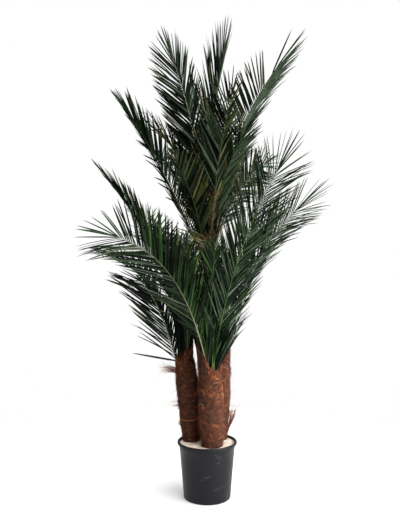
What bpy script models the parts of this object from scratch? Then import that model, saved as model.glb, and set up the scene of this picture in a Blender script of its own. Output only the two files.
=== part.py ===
"""A potted date palm, 2.2 m tall: three fibre-wrapped trunks set in a filled nursery pot, each with
its own crown of feather fronds. A frond is a tapering rib with pointed leaflets down both sides.

Metres, +Z up. The origin is the middle of the pot's flat underside, and -Y is the front.
"""

import math
import random
from collections import namedtuple

import bmesh
import bpy
from mathutils import Matrix, Vector
from mathutils.bvhtree import BVHTree

# ---- Sizes ----------------------------------------------------------------------------------------
GAP = 0.0003  # between two pieces that touch
UP = Vector((0.0, 0.0, 1.0))

POT_SIDES = 48
POT_HEIGHT = 0.255
POT_FOOT_RADIUS = 0.107
POT_NECK_RADIUS = 0.128  # outside, just under the lip
POT_LIP_RADIUS = 0.136
POT_LIP_DEPTH = 0.012
POT_WALL = 0.0025
POT_FLOOR = 0.004
POT_EDGE = 0.003  # bevel of the foot and the lip
FILL_DEPTH = 0.008  # from the top of the lip down to the fill
FILL_BOTTOM = POT_FLOOR + GAP
FILL_TOP = POT_HEIGHT - FILL_DEPTH
POT_NECK = POT_HEIGHT - POT_LIP_DEPTH  # height of the wall's top, where the lip begins

TRUNK_SIDES = 24
TRUNK_RINGS = 12
TRUNK_SPARE = 0.09  # how far a trunk is drawn past its top before it is cut
TRUNK_BOTTOM = FILL_TOP + GAP

LEAFLET_SPACING = 0.034  # along the rib
PETIOLE_SHARE = 0.07  # of the rib, bare, above the trunk
RIB_FOOT = (0.012, 0.008)  # width and thickness of the rib where it leaves the trunk
RIB_TIP = (0.005, 0.0035)
END_LEAFLET = 0.75  # the last leaflet's length, as a share of the longest
LEAFLET_TURN_SPREAD = 2  # degrees a leaflet strays along the rib, either way
LEAFLET_LIFT_SPREAD = 3  # and towards the frond's face
FATTER = 1.12  # how much fatter a leaflet is taken to be where another frond is looked for
SLIMMER = 0.93  # and how much slimmer beside the leaflets it shares a rib with
LONGER = 0.2  # share of that change that its tip moves by

MERGE_DISTANCE = 1e-5  # where the ends of a turned profile meet
SHARP_ANGLE = math.radians(35)

# How a trunk stands: foot (x, y), top (x, y, z) in the middle of its cut, how far its middle bows
# to +X, radius at shares of its height, and its slanting cut: bearing of the low side and slope.
Trunk = namedtuple("Trunk", "foot top bow radii low_side slope")
TRUNKS = {
    "front": Trunk(
        foot=(0.021, -0.048),
        top=(0.009, -0.050, 0.650),
        bow=0.0,
        radii=((0.0, 0.050), (0.15, 0.055), (0.5, 0.053), (0.85, 0.055), (1.0, 0.055)),
        low_side=-60,
        slope=50,
    ),
    "left": Trunk(
        foot=(-0.072, 0.035),
        top=(-0.103, 0.040, 0.645),
        bow=0.0,
        radii=((0.0, 0.043), (0.25, 0.047), (0.7, 0.048), (0.9, 0.045), (1.0, 0.040)),
        low_side=200,
        slope=48,
    ),
    "tall": Trunk(
        foot=(0.052, 0.058),
        top=(0.010, 0.055, 1.130),
        bow=0.026,
        radii=((0.0, 0.044), (0.2, 0.048), (0.4, 0.051), (0.7, 0.047), (1.0, 0.042)),
        low_side=-160,
        slope=45,
    ),
}

# A frond's seat is its share of the trunk's radius and its bearing on the cut. It leans on a bearing,
# reaches out and rises to the rib's tip, and its elbow (out, up) is where the straight lines
# from its foot and its tip would meet. Roll turns its face about the rib, spread is the angle of
# its leaflets off the rib at mid length, and leaf is its longest leaflet. Bearings run from +X (0)
# through +Y (90, the back), and -Y (-90) is the front.
Frond = namedtuple("Frond", "trunk seat lean reach rise elbow roll spread leaf")
FRONDS = (
    # the tall crown, those in front first
    Frond("tall", (0.40, -150), -138, 0.20, 0.86, (0.01, 0.50), 62, 38, 0.24),
    Frond("tall", (0.40, -25), -10, 0.07, 0.87, (-0.02, 0.53), -8, 27, 0.26),
    Frond("tall", (0.75, -30), -27, 0.31, 0.79, (0.03, 0.47), -25, 46, 0.20),
    Frond("tall", (0.75, -165), -173, 0.38, 0.70, (0.22, 0.51), -8, 46, 0.23),
    Frond("tall", (0.75, -80), -73, 0.29, 0.64, (0.06, 0.39), 0, 46, 0.20),
    Frond("tall", (0.75, 10), 5, 0.26, 0.38, (0.07, 0.26), -10, 50, 0.20),
    Frond("tall", (0.75, 60), 58, 0.34, 0.49, (0.08, 0.34), 0, 46, 0.20),
    Frond("tall", (0.75, 105), 90, 0.33, 0.55, (0.09, 0.38), 0, 46, 0.20),
    Frond("tall", (0.75, 150), 133, 0.34, 0.52, (0.09, 0.36), 0, 46, 0.20),
    Frond("tall", (0.75, -122), -118, 0.30, 0.40, (0.12, 0.32), 0, 46, 0.20),
    Frond("tall", (0.40, 60), 75, 0.16, 0.66, (0.03, 0.42), 8, 44, 0.21),
    Frond("tall", (0.40, 150), 166, 0.24, 0.58, (0.03, 0.38), 10, 44, 0.20),
    Frond("tall", (0.40, -85), -48, 0.22, 0.50, (0.04, 0.32), 0, 44, 0.20),
    # the front crown
    Frond("front", (0.75, -110), -135, 0.50, 0.55, (0.14, 0.48), 50, 54, 0.24),
    Frond("front", (0.75, -65), -47, 0.37, 0.84, (0.09, 0.48), -40, 50, 0.25),
    Frond("front", (0.75, -20), -19, 0.36, 0.69, (0.09, 0.44), -40, 46, 0.23),
    Frond("front", (0.30, -90), -80, 0.14, 0.52, (0.03, 0.30), 0, 44, 0.20),
    Frond("front", (0.75, 20), 22, 0.27, 0.60, (0.07, 0.40), -20, 46, 0.20),
    Frond("front", (0.75, 175), 165, 0.24, 0.48, (0.01, 0.38), 0, 46, 0.20),
    Frond("front", (0.75, 120), 130, 0.24, 0.48, (0.06, 0.34), 0, 46, 0.19),
    # the left crown
    Frond("left", (0.70, -176), -174, 0.32, 0.83, (0.02, 0.47), 8, 44, 0.21),
    Frond("left", (0.75, -145), -124, 0.28, 0.37, (0.13, 0.35), 50, 58, 0.23),
    Frond("left", (0.70, -60), -90, 0.24, 0.47, (0.09, 0.30), 0, 46, 0.20),
    Frond("left", (0.70, 105), 128, 0.34, 0.66, (0.08, 0.42), 0, 46, 0.20),
    Frond("left", (0.70, 50), 92, 0.34, 0.50, (0.09, 0.36), 0, 46, 0.20),
    Frond("left", (0.70, 140), 158, 0.34, 0.45, (0.12, 0.38), 0, 46, 0.20),
)

# ---- Looks ----------------------------------------------------------------------------------------
POT_PLASTIC = ((0.032, 0.032, 0.040), 0.45)
PALE_FILL = ((0.86, 0.76, 0.66), 0.9)
PALM_FIBRE = ((0.085, 0.034, 0.016), 0.95)
FROND_GREENS = (
    ((0.012, 0.045, 0.018), 0.55),
    ((0.020, 0.065, 0.026), 0.55),
    ((0.030, 0.080, 0.040), 0.60),
)

# How a leaflet sits at shares of the leafy rib: its length as a share of the longest, its angle off
# the rib as a share of the frond's spread, and how far it is lifted to make the shallow V.
LEAFLET_LENGTH = ((0.0, 0.80), (0.2, 1.0), (0.6, 1.0), (0.85, 0.85), (1.0, 0.70))
LEAFLET_ANGLE = ((0.0, 1.1), (0.5, 1.0), (0.9, 0.9), (1.0, 0.5))
LEAFLET_LIFT = ((0.0, 30), (0.6, 24), (1.0, 10))
# What is tried in turn where a leaflet meets a neighbour: its length and an extra lift.
LEAFLET_TRIES = ((1.0, 0), (1.0, 12), (1.0, -12), (0.85, 0), (0.8, 20), (0.7, -10), (0.55, 0), (0.4, 10))


def remove_everything():
    for obj in list(bpy.data.objects):
        bpy.data.objects.remove(obj, do_unlink=True)


def between(keys, share):
    """Read a value off (share, value) keys, eased from key to key."""
    for (s0, v0), (s1, v1) in zip(keys, keys[1:]):
        if share <= s1:
            t = (share - s0) / (s1 - s0)
            t = t * t * (3.0 - 2.0 * t)
            return v0 + (v1 - v0) * t
    return keys[-1][1]


def heading(bearing):
    angle = math.radians(bearing)
    return Vector((math.cos(angle), math.sin(angle), 0.0))


def plain_material(name, look):
    colour, roughness = look
    material = bpy.data.materials.new(name)
    material.use_nodes = True
    shader = material.node_tree.nodes["Principled BSDF"]
    shader.inputs["Base Color"].default_value = (*colour, 1.0)
    shader.inputs["Roughness"].default_value = roughness
    shader.inputs["Metallic"].default_value = 0.0
    return material


def add_palm():
    """The empty that carries every piece, on the origin."""
    palm = bpy.data.objects.new("palm", None)
    bpy.context.scene.collection.objects.link(palm)
    return palm


def add_object(name, bm, look, palm, place, smooth=True):
    """Make an object of a mesh drawn where it stands, with the object's own origin at a place."""
    bmesh.ops.translate(bm, verts=bm.verts, vec=-place)
    mesh = bpy.data.meshes.new(name)
    bm.to_mesh(mesh)
    bm.free()
    mesh.materials.append(plain_material(name + "_material", look))
    if smooth:
        mesh.shade_smooth()
        mesh.set_sharp_from_angle(angle=SHARP_ANGLE)
    obj = bpy.data.objects.new(name, mesh)
    obj.location = place
    obj.parent = palm
    bpy.context.scene.collection.objects.link(obj)


# ---- Pot and fill ---------------------------------------------------------------------------------
def turned(profile):
    """Spin a profile of (radius, height) about the Z axis; its two ends lie on the axis."""
    bm = bmesh.new()
    verts = [bm.verts.new((radius, 0.0, height)) for radius, height in profile]
    edges = [bm.edges.new(pair) for pair in zip(verts, verts[1:])]
    bmesh.ops.spin(
        bm,
        geom=verts + edges,
        cent=(0.0, 0.0, 0.0),
        axis=UP,
        angle=math.tau,
        steps=POT_SIDES,
        use_duplicate=False,
    )
    bmesh.ops.remove_doubles(bm, verts=bm.verts, dist=MERGE_DISTANCE)
    bmesh.ops.recalc_face_normals(bm, faces=bm.faces)
    return bm


def pot_outside(height):
    """Outer radius of the pot's straight, flaring wall at a height."""
    return POT_FOOT_RADIUS + (POT_NECK_RADIUS - POT_FOOT_RADIUS) * height / POT_NECK


def make_pot(palm):
    inside_top = POT_NECK_RADIUS - POT_WALL
    profile = (
        (0.0, 0.0),
        (POT_FOOT_RADIUS - POT_EDGE, 0.0),
        (pot_outside(POT_EDGE), POT_EDGE),
        (POT_NECK_RADIUS, POT_NECK),
        (POT_LIP_RADIUS - POT_EDGE, POT_NECK),
        (POT_LIP_RADIUS, POT_NECK + POT_EDGE),
        (POT_LIP_RADIUS, POT_HEIGHT - POT_EDGE),
        (POT_LIP_RADIUS - POT_EDGE, POT_HEIGHT),
        (inside_top, POT_HEIGHT),
        (inside_top, POT_NECK),
        (pot_outside(POT_FLOOR) - POT_WALL, POT_FLOOR),
        (0.0, POT_FLOOR),
    )
    add_object("pot", turned(profile), POT_PLASTIC, palm, Vector())


def make_fill(palm):
    inset = POT_WALL + GAP
    profile = (
        (0.0, FILL_BOTTOM),
        (pot_outside(FILL_BOTTOM) - inset, FILL_BOTTOM),
        (POT_NECK_RADIUS - inset, POT_NECK),
        (POT_NECK_RADIUS - inset, FILL_TOP),
        (0.0, FILL_TOP),
    )
    add_object("fill", turned(profile), PALE_FILL, palm, UP * FILL_BOTTOM)


# ---- Trunks ---------------------------------------------------------------------------------------
def trunk_middle(trunk, share):
    """The middle of a trunk at a share of its height, bowed most at half height."""
    foot = Vector((*trunk.foot, TRUNK_BOTTOM))
    top = Vector(trunk.top)
    middle = foot.lerp(top, share)
    middle.x += trunk.bow * 4.0 * share * (1.0 - share)
    return middle


def cut_normal(trunk):
    """Upward normal of the slanting cut across a trunk's top."""
    slope = math.radians(trunk.slope)
    return heading(trunk.low_side) * math.sin(slope) + UP * math.cos(slope)


def on_cut(trunk, point):
    """The same x and y on the trunk's cut, one gap above it."""
    normal = cut_normal(trunk)
    away = point - Vector(trunk.top)
    height = trunk.top[2] - (normal.x * away.x + normal.y * away.y) / normal.z
    return Vector((point.x, point.y, height + GAP / normal.z))


def make_trunk(name, trunk, palm, neighbours):
    bm = bmesh.new()
    past_the_cut = 1.0 + TRUNK_SPARE / (trunk.top[2] - TRUNK_BOTTOM)
    rings = []
    for row in range(TRUNK_RINGS + 1):
        share = past_the_cut * row / TRUNK_RINGS
        middle = trunk_middle(trunk, share)
        radius = between(trunk.radii, min(share, 1.0))
        place = Matrix.Translation(middle)
        ring = bmesh.ops.create_circle(bm, segments=TRUNK_SIDES, radius=radius, matrix=place, cap_ends=False)
        rings.append(ring["verts"])
    for lower, upper in zip(rings, rings[1:]):
        for side in range(TRUNK_SIDES):
            after = (side + 1) % TRUNK_SIDES
            bm.faces.new((lower[side], lower[after], upper[after], upper[side]))
    bm.faces.new(rings[0])
    everything = bm.verts[:] + bm.edges[:] + bm.faces[:]
    bmesh.ops.bisect_plane(
        bm,
        geom=everything,
        plane_co=trunk.top,
        plane_no=cut_normal(trunk),
        clear_outer=True,
    )
    open_edges = [edge for edge in bm.edges if edge.is_boundary]
    bmesh.ops.holes_fill(bm, edges=open_edges)
    bmesh.ops.recalc_face_normals(bm, faces=bm.faces)
    bm.verts.index_update()
    points = [vert.co.copy() for vert in bm.verts]
    faces = [tuple(vert.index for vert in face.verts) for face in bm.faces]
    neighbours.add("trunk", points, faces)
    add_object("trunk_" + name, bm, PALM_FIBRE, palm, trunk_middle(trunk, 0.0))


# ---- Fronds ---------------------------------------------------------------------------------------
Station = namedtuple("Station", "point along across face width thick")
LEAFLET_FACES = ((0, 1, 4), (1, 2, 4), (2, 3, 4), (3, 0, 4), (3, 2, 1, 0))


def corners_of(points):
    """Lowest and highest corner of the box round some points."""
    low = [min(point[i] for point in points) for i in range(3)]
    high = [max(point[i] for point in points) for i in range(3)]
    return low, high


class Neighbours:
    """What already stands, as small trees of faces that a new leaflet must stay clear of."""

    def __init__(self):
        self.pieces = []

    def add(self, owner, points, faces):
        low, high = corners_of(points)
        self.pieces.append((owner, low, high, BVHTree.FromPolygons(points, faces)))

    def meets(self, owner, leaflet):
        """Whether a leaflet cuts into a piece that belongs to another owner."""
        low, high = corners_of(leaflet)
        tree = BVHTree.FromPolygons(leaflet, LEAFLET_FACES)
        for other, other_low, other_high, other_tree in self.pieces:
            if other == owner:
                continue
            if any(high[i] < other_low[i] or low[i] > other_high[i] for i in range(3)):
                continue
            if tree.overlap(other_tree):
                return True
        return False


def frond_seat(frond):
    """The middle of the rib's foot, on the trunk's cut."""
    trunk = TRUNKS[frond.trunk]
    share, bearing = frond.seat
    out = heading(bearing) * share * between(trunk.radii, 1.0)
    return on_cut(trunk, Vector(trunk.top) + out)


def rib_stations(frond):
    """Sections along the rib, a curve that starts towards the elbow and ends away from it."""
    out = heading(frond.lean)
    side = UP.cross(out)
    foot = frond_seat(frond)
    elbow = foot + out * frond.elbow[0] + UP * frond.elbow[1]
    tip = foot + out * frond.reach + UP * frond.rise
    length = (elbow - foot).length + (tip - elbow).length
    steps = round(length / LEAFLET_SPACING)
    roll = math.radians(frond.roll)
    stations = []
    for step in range(steps + 1):
        t = step / steps
        point = foot * (1 - t) ** 2 + elbow * (2 * t * (1 - t)) + tip * t**2
        along = ((elbow - foot) * (1 - t) + (tip - elbow) * t).normalized()
        inward = along.cross(side).normalized()
        across = side * math.cos(roll) + inward * math.sin(roll)
        face = inward * math.cos(roll) - side * math.sin(roll)
        width = RIB_FOOT[0] + (RIB_TIP[0] - RIB_FOOT[0]) * t
        thick = RIB_FOOT[1] + (RIB_TIP[1] - RIB_FOOT[1]) * t
        stations.append(Station(point, along, across, face, width, thick))
    return stations


def section(station):
    """The rib's four corners: left under, right under, right upper, left upper."""
    half_width = station.across * station.width / 2
    half_thick = station.face * station.thick / 2
    point = station.point
    return (
        point - half_width - half_thick,
        point + half_width - half_thick,
        point + half_width + half_thick,
        point - half_width + half_thick,
    )


def rib_sections(frond, stations):
    """All the rib's sections, the first one laid on the trunk's slanting cut."""
    sections = [section(station) for station in stations]
    trunk = TRUNKS[frond.trunk]
    sections[0] = tuple(on_cut(trunk, corner) for corner in sections[0])
    return sections


def rib_solid(frond, stations, sections):
    """Points and faces of the bare rib, with the last leaflet drawn out of its tip."""
    points = [corner for corners in sections for corner in corners]
    faces = [(3, 2, 1, 0)]
    for row in range(len(sections) - 1):
        low = 4 * row
        for side in range(4):
            after = (side + 1) % 4
            faces.append((low + side, low + after, low + 4 + after, low + 4 + side))
    end = stations[-1]
    points.append(end.point + end.along * frond.leaf * END_LEAFLET)
    low = 4 * (len(sections) - 1)
    for side in range(4):
        faces.append((low + side, low + (side + 1) % 4, low + 4))
    return points, faces


def leaflet_tip(frond, lower, upper, share, hand, grow, turn, tilt):
    """Where the leaflet between two stations ends; hand is +1 to the right and -1 to the left."""
    along = (lower.along + upper.along).normalized()
    root = (lower.point + upper.point) / 2 + lower.across * hand * lower.width / 2
    angle = math.radians(frond.spread * between(LEAFLET_ANGLE, share) + turn)
    lift = math.radians(between(LEAFLET_LIFT, share) + tilt)
    length = frond.leaf * between(LEAFLET_LENGTH, share) * grow
    outward = lower.across * hand * math.cos(lift) + lower.face * math.sin(lift)
    return root + (along * math.cos(angle) + outward * math.sin(angle)) * length


def resized(root, tip, size):
    """A leaflet's points, drawn about the middle of its root at another size."""
    middle = sum(root, Vector()) / len(root)
    wide = [middle + (corner - middle) * size for corner in root]
    return [*wide, tip + (tip - middle) * (size - 1.0) * LONGER]


def leaflet_plan(number, frond, stations, sections, neighbours):
    """The tip of every leaflet that has room, by rib step and hand."""
    chance = random.Random(number)
    own = Neighbours()
    steps = len(stations) - 1
    bare = max(1, round(PETIOLE_SHARE * steps))
    tips = {}
    for step in range(bare, steps):
        share = (step - bare) / (steps - 1 - bare)
        for hand in (-1, 1):
            lower, upper = (3, 0) if hand < 0 else (1, 2)
            root = (
                sections[step][lower],
                sections[step][upper],
                sections[step + 1][upper],
                sections[step + 1][lower],
            )
            turn = chance.uniform(-LEAFLET_TURN_SPREAD, LEAFLET_TURN_SPREAD)
            tilt = chance.uniform(-LEAFLET_LIFT_SPREAD, LEAFLET_LIFT_SPREAD)
            for grow, extra_lift in LEAFLET_TRIES:
                place = (stations[step], stations[step + 1], share, hand)
                tip = leaflet_tip(frond, *place, grow, turn, tilt + extra_lift)
                fat, slim = resized(root, tip, FATTER), resized(root, tip, SLIMMER)
                if neighbours.meets(number, fat) or own.meets(None, slim):
                    continue
                neighbours.add(number, fat, LEAFLET_FACES)
                own.add(number, slim, LEAFLET_FACES)
                tips[step, hand] = tip
                break
    return tips


def make_frond(number, name, frond, stations, sections, neighbours, palm):
    bm = bmesh.new()
    points, faces = rib_solid(frond, stations, sections)
    verts = [bm.verts.new(point) for point in points]
    built = [bm.faces.new([verts[i] for i in face]) for face in faces]
    tips = leaflet_plan(number, frond, stations, sections, neighbours)
    for (step, hand), tip in tips.items():
        side = 3 if hand < 0 else 1
        poked = bmesh.ops.poke(bm, faces=[built[1 + 4 * step + side]])
        poked["verts"][0].co = tip
    look = FROND_GREENS[number % len(FROND_GREENS)]
    add_object(name, bm, look, palm, frond_seat(frond), smooth=False)


def frond_names():
    counts = {}
    for frond in FRONDS:
        counts[frond.trunk] = counts.get(frond.trunk, 0) + 1
        yield "frond_%s_%02d" % (frond.trunk, counts[frond.trunk])


def make_palm():
    remove_everything()
    palm = add_palm()
    make_pot(palm)
    make_fill(palm)
    neighbours = Neighbours()
    for name, trunk in TRUNKS.items():
        make_trunk(name, trunk, palm, neighbours)
    laid_out = []
    for number, (name, frond) in enumerate(zip(frond_names(), FRONDS)):
        stations = rib_stations(frond)
        sections = rib_sections(frond, stations)
        neighbours.add(number, *rib_solid(frond, stations, sections))
        laid_out.append((number, name, frond, stations, sections))
    for plan in laid_out:
        make_frond(*plan, neighbours, palm)


make_palm()
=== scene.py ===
"""Looks of a potted artificial date palm: leaflets, ribs, fibre trunks, nursery pot and set fill.

Metres, +Z up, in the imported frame. -Y is the front. Bearings run from +X (0) through +Y (90, the back).
"""

import math
import random
from collections import namedtuple

import bmesh
import bpy
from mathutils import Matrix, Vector, noise
from mathutils.bvhtree import BVHTree


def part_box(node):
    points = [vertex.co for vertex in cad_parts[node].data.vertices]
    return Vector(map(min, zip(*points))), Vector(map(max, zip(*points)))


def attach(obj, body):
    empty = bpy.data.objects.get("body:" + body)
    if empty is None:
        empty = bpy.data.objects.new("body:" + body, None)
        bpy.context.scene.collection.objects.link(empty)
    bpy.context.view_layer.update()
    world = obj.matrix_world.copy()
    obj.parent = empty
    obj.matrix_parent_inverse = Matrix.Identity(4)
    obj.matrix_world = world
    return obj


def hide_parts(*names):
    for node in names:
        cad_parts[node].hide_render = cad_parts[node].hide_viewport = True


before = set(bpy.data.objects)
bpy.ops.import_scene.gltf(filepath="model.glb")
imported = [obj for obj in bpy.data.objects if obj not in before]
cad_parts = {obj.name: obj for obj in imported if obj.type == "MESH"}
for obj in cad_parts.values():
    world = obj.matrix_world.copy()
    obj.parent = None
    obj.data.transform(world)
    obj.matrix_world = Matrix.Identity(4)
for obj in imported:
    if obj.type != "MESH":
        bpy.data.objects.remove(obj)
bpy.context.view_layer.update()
bpy.ops.object.select_all(action="DESELECT")

# ---- Sizes ----------------------------------------------------------------------------------------
UP = Vector((0.0, 0.0, 1.0))
BODY = "root"

POT_LIP_RADIUS, _, POT_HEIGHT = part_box("pot")[1]
POT_SIDES = 96
POT_FOOT_RADIUS = 0.107
POT_FOOT_EDGE = 0.003  # rounding of the foot
POT_FOOT_SEAT = 0.012  # width of the ring it stands on
POT_NECK_RADIUS = 0.128  # outside, just under the lip
POT_WALL = 0.0025
POT_FLOOR = 0.004
POT_RINGS = (0.06, 0.12, 0.18)  # heights of the wall's edges
POT_LIP_DEPTH = 0.012
POT_LIP_ROUNDS = (0.002, 0.0035, 0.003)  # under the lip, over it and at its inner edge
POT_NECK = POT_HEIGHT - POT_LIP_DEPTH
BAND_HEIGHT = 0.016  # the thicker band under the lip
BAND_DEPTH = 0.0007

FILL_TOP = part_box("fill")[1][2]
FILL_GAP = 0.0004  # between the fill and the pot
FILL_RINGS = 24  # rings of its lumpy top
FILL_SINK = 0.002  # its level, without the lumps, is this far under the top of the solid
FILL_LUMPS = (0.0035, 0.0022, 0.004)  # height of its broad and small lumps, and the most of both
CRUMBS = 420
CRUMB_SIZES = (0.0008, 0.0032)
CRUMB_SQUASH = ((0.7, 1.3), (0.7, 1.3), (0.5, 0.9))  # along X, Y and Z
CRUMB_REACH = 0.121  # how far from the middle they lie
CRUMB_SINK = 0.001  # how deep

TRUNK_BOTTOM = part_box("trunk_front")[0][2]
TRUNK_SIDES = 72
TRUNK_ROW = 0.006  # height of one ring of the trunk's mesh
TRUNK_SPARE = 0.09  # how far a trunk is drawn past its top before it is cut
MAT_DEPTH = 0.0015  # how far the loose fibre stands out from the matted core
WRAP_PITCH = 0.095  # the fibre mat climbs this much in one turn round the trunk
WRAP_LAP = 0.0026  # how far its edge stands out
WRAP_LUMPS = (0.0022, 0.0007)  # height of its broad and its small lumps
CORE_KNOTS = 0.0012  # height of the core's knots

STRAND_LIFT = 0.0008  # how far the ends of the wisps lie off the trunk's skin
RIM_GAP = 0.002  # how far under the sheath's rim they stop
WISPS_PER_METRE = 1450
WISP_LENGTHS = (0.026, 0.060)
WISP_SLANTS = (25, 155)  # the two ways the weave runs, in degrees off level
WISP_STRAY = 70  # degrees that a wisp strays from it, at the most
WISP_REACH = 1.12  # the rims stand higher than the trunk's top: wisps go up to this share of its height
WISP_PROUD = (0.0002, 0.0032)  # how far its middle stands off the mat
WISP_THICKS = (0.0004, 0.0008)
WISP_FIBRES = (2, 4)
WISP_CURL = 13  # degrees that it bends from point to point, at the most
WISP_POINTS = 6
WISP_TONES = {"core": 22, "brown": 42, "russet": 29, "ginger": 7}
HAIRS_PER_METRE = 420
HAIR_LENGTHS = (0.010, 0.050, 0.016)  # shortest, longest and commonest
HAIR_THICK = 0.0009
HAIR_TAPER = 0.75  # share of its thickness that it loses towards its tip
HAIR_ROOT = 0.001  # how deep in the wrap it starts
HAIR_CURL = 0.35
HAIR_STRAY = 75  # degrees that it points to one side, at the most
HAIR_RISES = (-0.5, 1.2)
HAIR_POINTS = 7
HAIR_TONES = {"brown": 30, "russet": 40, "ginger": 20, "pale": 10}
SHEATH_SIDES = 120
SHEATH_ROWS = 9
SHEATH_SKIN = 0.0028
SHEATH_DEPTH = 0.045  # how far it reaches down past the trunk's cut
SHEATH_TEAR = (-0.007, 0.006)  # how far its rim strays up and down
SHEATH_FLARE = (0.07, 0.35)  # what stands higher than this leans out by this share
SHEATH_CREASE = 0.003
SHEATH_LIFT = 0.0008  # how far its outside stands off the trunk's skin
FRAYS = 420  # fibres that fray out of one sheath's rim
FRAY_LENGTHS = (0.012, 0.050, 0.020)
FRAY_THICK = 0.0012
FRAY_DEPTHS = (-0.001, 0.05)  # how far under the rim they start
FRAY_LEANS = (-0.08, 0.18)  # how far they lean out
FRAY_STRAY = 0.35  # and aside, at the most
FRAY_TONES = {"brown": 40, "russet": 40, "ginger": 20}

LEAFLET_SPACING = 0.0120  # along the rib, on each side
STAGGER = (0.25, 0.75)  # where in its space a leaflet stands, on the left and on the right
CROWDING = 1.1  # over 1, leaflets stand closer at the foot of the rib than at its tip
LEAFLET_WIDTH = 0.0092
BLADE_KEEL = 0.0009  # thickness of the leaflet along its fold
END_BREADTH = 0.8  # width of the leaflet that ends a rib, beside the others'
END_SOCKET = 0.004  # how far back in the rib it is rooted
HEART_ROOTS = (0.45, 0.88)  # where the young blades are rooted, in shares of the trunk's radius
HEART_SINK = 0.006  # how deep
HEART_STRAY = 0.16  # how far they lean aside
HEART_TURN = 50  # degrees that they are turned on their own axis, at the most
HEART_BOW = 0.02  # how far their tips bow out
HEART_BREADTH = 1.1  # their width beside a leaflet's
BROKEN_BREADTH = 0.7  # the dry blades' width beside a leaflet's
BROKEN_SAGS = (0.05, 0.25)
RIB_ROWS = 30
RIB_SIDES = 8
RIB_SOCKET = 0.012  # how far a rib reaches back into its trunk
# width and thickness of the rib at shares of its length
RIB_WIDTH = ((0.0, 0.010), (0.06, 0.0060), (0.4, 0.0040), (1.0, 0.0016))
RIB_THICK = ((0.0, 0.009), (0.06, 0.006), (0.4, 0.0042), (1.0, 0.0020))
SPINES = 75  # on each side, if a rib had them all along
FIRST_SPINE = 0.015  # share of the rib where they start
SPINE_SPACING = 0.012  # also a share of the rib
SPINE_LENGTHS = (0.03, 0.075)
SPINE_THICKS = (0.0022, 0.0016, 0.0005)
SPINE_SPREAD = 0.9  # how far it points off the rib, for 1 along it
SPINE_LIFTS = (0.0, 0.7)  # and up off the frond's flat
PALE_SPINES = 0.5  # the share of them that isn't brown

FLOOR_RADIUS = 1.7
FLOOR_DROP = 0.0005  # under the pot's foot

# The three trunks: foot (x, y), top (x, y, z) in the middle of the cut, how far the middle bows to +X,
# radius at shares of the height, bearing of the cut's low side and its slope.
Trunk = namedtuple("Trunk", "foot top bow radii low_side slope")
TRUNKS = {
    "front": Trunk(
        foot=(0.021, -0.048),
        top=(0.009, -0.050, 0.650),
        bow=0.0,
        radii=((0.0, 0.050), (0.15, 0.055), (0.5, 0.055), (0.85, 0.055), (1.0, 0.055)),
        low_side=-60,
        slope=50,
    ),
    "left": Trunk(
        foot=(-0.072, 0.035),
        top=(-0.103, 0.040, 0.645),
        bow=0.0,
        radii=((0.0, 0.043), (0.25, 0.049), (0.7, 0.0535), (0.87, 0.047), (1.0, 0.040)),
        low_side=200,
        slope=48,
    ),
    "tall": Trunk(
        foot=(0.052, 0.058),
        top=(0.010, 0.055, 1.130),
        bow=0.026,
        radii=((0.0, 0.044), (0.2, 0.048), (0.4, 0.051), (0.7, 0.047), (1.0, 0.042)),
        low_side=-160,
        slope=45,
    ),
}

# How high the torn rim of the leaf sheath stands over the trunk's cut, at bearings round it.
SHEATH_RIMS = {
    "front": ((-180, 0.084), (-163, 0.082), (-140, 0.052), (-112, 0.045), (-97, 0.028), (-83, -0.006),
              (-60, -0.008), (-35, 0.000), (-10, 0.022), (40, 0.020), (100, 0.012), (165, 0.030),
              (180, 0.084)),
    "left": ((-180, 0.030), (-120, 0.012), (-60, 0.020), (0, 0.030), (90, 0.012), (180, 0.030)),
    "tall": ((-180, 0.060), (-120, 0.110), (-80, 0.050), (-50, 0.090), (0, 0.060), (90, 0.080),
             (180, 0.060)),
}

# The fronds. Their ribs lie where the solids have them, the furthest 28 mm off. Each has its seat (share
# of the trunk's radius, bearing), the bearing of its lean, how far the rib reaches out and up, its elbow
# (out, up) and its roll about the rib. Pairs are for the left and the right hand: the length of the
# leaflets, their spread off the rib in degrees and their tone mix, which is partly dye and partly painted
# highlight and painted shade. The rest is:
# rib, the stalk's tone; foot, how open the lowest leaflets are, as a share of the spread; open_at, where
# on the rib they are fully open; packed, how much closer than usual they stand; tip, how long the last
# ones are beside the longest; fan, how open they still are just short of the tip; bare and ends, where on
# the rib the leaflets start and stop; spiny, how far up a rib on the tall trunk has spines; wide, the
# width of the leaflets beside the usual one.
Frond = namedtuple(
    "Frond",
    "trunk seat lean reach rise elbow roll leaves spreads dyes "
    "rib foot open_at packed tip fan bare spiny ends wide",
    defaults=("dark", 0.45, 0.12, (1.0, 1.0), 0.75, 0.8, (0.03, 0.03), 0.12, (1.0, 1.0), 1.0),
)
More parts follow.
